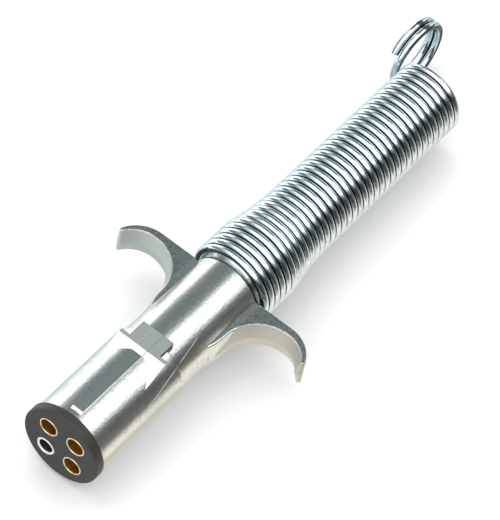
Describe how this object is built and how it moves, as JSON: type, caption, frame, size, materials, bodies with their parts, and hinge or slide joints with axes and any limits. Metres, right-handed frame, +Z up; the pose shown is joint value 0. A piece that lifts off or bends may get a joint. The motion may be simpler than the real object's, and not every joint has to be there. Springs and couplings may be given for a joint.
{
  "type": "trailer wiring connector",
  "caption": "Round trailer wiring plug: cast shell with finger hooks and keyed nose, socket insert, and a coiled spring cable guard that ends in a hang loop.",
  "frame": {"origin": "centre of the insert's mating face", "axes": "+Y along the plug's axis from the mating face to the hang loop, +X towards the right finger hook, +Z up through the keyed rib"},
  "size_m": [0.0724, 0.2071, 0.0297],
  "materials": {
    "zinc_casting": "polished die-cast zinc",
    "spring_wire": "bright zinc-plated",
    "insert_plastic": "satin",
    "plate_plastic": "matte",
    "grommet_rubber": "matte",
    "brass_terminal": "drawn",
    "tinned_terminal": "tinned",
    "plated_screw": "zinc-plated",
    "plated_saddle": "zinc-plated"
  },
  "bodies": {
    "shell_body": {"shell": "zinc_casting", "cable_grommet": "grommet_rubber"},
    "insert_body": {"insert": "insert_plastic", "back_plate": "plate_plastic", "back_plate_screw": "plated_screw", "left_turn_terminal": "brass_terminal", "right_turn_terminal": "brass_terminal", "tail_light_terminal": "brass_terminal", "ground_terminal": "tinned_terminal"},
    "retaining_screw_body": {"insert_retaining_screw": "plated_screw"},
    "clamp_saddle_body": {"cable_clamp_saddle": "plated_saddle"},
    "clamp_screw_body": {"cable_clamp_screw": "plated_screw"},
    "spring_guard_body": {"spring_guard": "spring_wire"},
    "left_turn_wire_screw_body": {"left_turn_wire_screw": "plated_screw"},
    "right_turn_wire_screw_body": {"right_turn_wire_screw": "plated_screw"},
    "tail_light_wire_screw_body": {"tail_light_wire_screw": "plated_screw"},
    "ground_wire_screw_body": {"ground_wire_screw": "plated_screw"}
  },
  "joints": [
    {"name": "insert_slide", "type": "slide", "parent": "shell_body", "child": "insert_body", "axis": [0, -1, 0], "range_m": [0, 0.03]},
    {"name": "left_turn_wire_screw_turn", "type": "hinge", "parent": "insert_body", "child": "left_turn_wire_screw_body", "pos_m": [-0.0051, 0.0299, 0.0051], "axis": [-0.7071, 0, 0.7071], "range_deg": [0, 720]},
    {"name": "right_turn_wire_screw_turn", "type": "hinge", "parent": "insert_body", "child": "right_turn_wire_screw_body", "pos_m": [0.0051, 0.0299, 0.0051], "axis": [0.7071, 0, 0.7071], "range_deg": [0, 720]},
    {"name": "tail_light_wire_screw_turn", "type": "hinge", "parent": "insert_body", "child": "tail_light_wire_screw_body", "pos_m": [0.0051, 0.0299, -0.0051], "axis": [0.7071, 0, -0.7071], "range_deg": [0, 720]},
    {"name": "ground_wire_screw_turn", "type": "hinge", "parent": "insert_body", "child": "ground_wire_screw_body", "pos_m": [-0.0051, 0.0299, -0.0051], "axis": [-0.7071, 0, -0.7071], "range_deg": [0, 720]},
    {"name": "retaining_screw_turn", "type": "hinge", "parent": "shell_body", "child": "retaining_screw_body", "pos_m": [0, 0.014, -0.012], "axis": [0, 0, -1], "range_deg": [0, 720]},
    {"name": "clamp_saddle_slide", "type": "slide", "parent": "shell_body", "child": "clamp_saddle_body", "axis": [0, 0, 1], "range_m": [0, 0.0035]},
    {"name": "clamp_screw_turn", "type": "hinge", "parent": "clamp_saddle_body", "child": "clamp_screw_body", "pos_m": [0, 0.0655, -0.011], "axis": [0, 0, 1], "range_deg": [0, 1575]},
    {"name": "spring_guard_turn", "type": "hinge", "parent": "shell_body", "child": "spring_guard_body", "pos_m": [0, 0.0882, 0], "axis": [0, 1, 0], "continuous": true}
  ]
}
